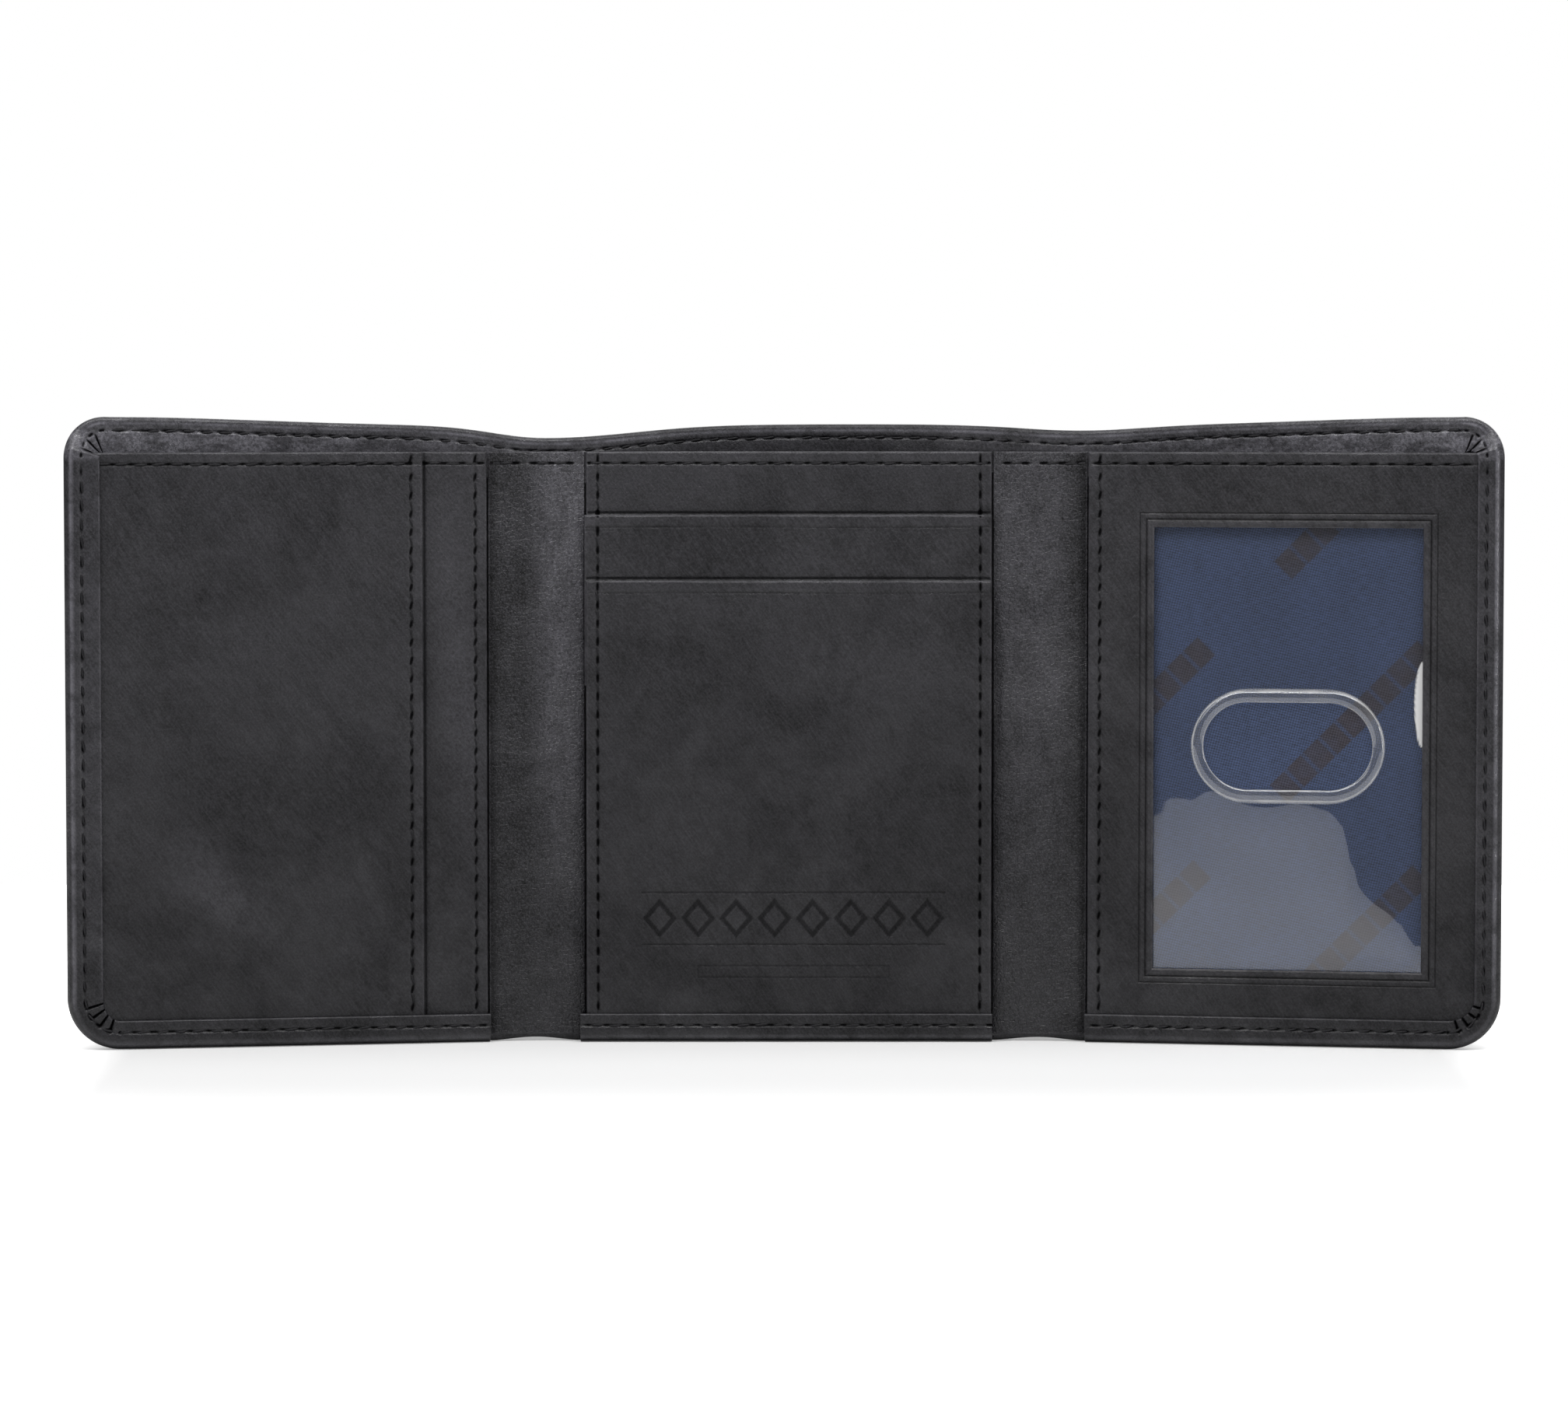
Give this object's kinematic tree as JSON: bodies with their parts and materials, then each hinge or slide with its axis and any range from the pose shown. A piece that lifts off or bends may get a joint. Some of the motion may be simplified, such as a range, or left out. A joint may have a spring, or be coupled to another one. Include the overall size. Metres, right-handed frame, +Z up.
{
  "type": "trifold wallet",
  "caption": "Open trifold wallet: leather cover round a full-width bill compartment, card slots, side pockets and a clear ID window with a thumb hole.",
  "frame": {"origin": "middle of the base: the bottom centre of the bounding box of the open wallet standing on its bottom edge", "axes": "+X across the open wallet towards the ID window, +Y towards the back (the cover's outer face), +Z up"},
  "size_m": [0.2454, 0.0232, 0.1081],
  "materials": {
    "cover_leather": "burnished smooth leather",
    "pocket_leather": "burnished smooth leather",
    "fold_leather": "soft grained leather",
    "black_lining": "fine woven nylon",
    "navy_lining": "fine woven nylon",
    "clear_vinyl": "clear gloss sheet",
    "thread": "waxed polyester thread"
  },
  "bodies": {
    "centre": {"cover_centre": "cover_leather", "cover_lining_centre": "black_lining", "divider_lining_centre": "black_lining", "centre_back_panel": "pocket_leather", "upper_card_pocket": "pocket_leather", "upper_pocket_lining": "black_lining", "lower_card_pocket": "pocket_leather", "thread_centre_bottom": "thread", "thread_centre_left": "thread", "thread_centre_right": "thread", "thread_centre_top": "thread", "thread_cover_top_centre": "thread"},
    "left_spine": {"cover_spine_left": "cover_leather", "cover_lining_fold_left": "black_lining", "fold_strip_left": "fold_leather"},
    "left_wing": {"cover_left": "cover_leather", "cover_lining_left": "black_lining", "divider_lining_left": "black_lining", "left_rear_pocket": "pocket_leather", "left_front_pocket": "pocket_leather", "thread_left_perimeter": "thread", "thread_left_front_top": "thread", "thread_left_rear_top": "thread", "thread_front_pocket_hem": "thread", "thread_rear_pocket_hem": "thread", "thread_cover_top_left": "thread"},
    "right_spine": {"cover_spine_right": "cover_leather", "cover_lining_fold_right": "black_lining", "fold_strip_right": "fold_leather"},
    "right_wing": {"cover_right": "cover_leather", "cover_lining_right": "black_lining", "divider_lining_right": "black_lining", "id_backing_lining": "navy_lining", "id_window": "clear_vinyl", "window_frame": "pocket_leather", "thread_right_perimeter": "thread", "thread_right_top": "thread", "thread_frame_hem": "thread", "thread_cover_top_right": "thread"}
  },
  "joints": [
    {"name": "left_inner_fold", "type": "hinge", "parent": "centre", "child": "left_spine", "pos_m": [-0.0408, 0.00606, 0], "axis": [0, 0, 1], "range_deg": [-5, 85], "deforming": ["fold_strip_left", "cover_lining_fold_left"]},
    {"name": "left_outer_fold", "type": "hinge", "parent": "left_spine", "child": "left_wing", "pos_m": [-0.05056, 0.00521, 0], "axis": [0, 0, 1], "range_deg": [-5, 85]},
    {"name": "right_inner_fold", "type": "hinge", "parent": "centre", "child": "right_spine", "pos_m": [0.03685, 0.00606, 0], "axis": [0, 0, -1], "range_deg": [-5, 83], "deforming": ["fold_strip_right", "cover_lining_fold_right"]},
    {"name": "right_outer_fold", "type": "hinge", "parent": "right_spine", "child": "right_wing", "pos_m": [0.05184, 0.00475, 0], "axis": [0, 0, -1], "range_deg": [-5, 83]}
  ],
  "couplings": [
    {"joint": "left_outer_fold", "follows": "left_inner_fold", "ratio": 1},
    {"joint": "right_outer_fold", "follows": "right_inner_fold", "ratio": 1}
  ]
}
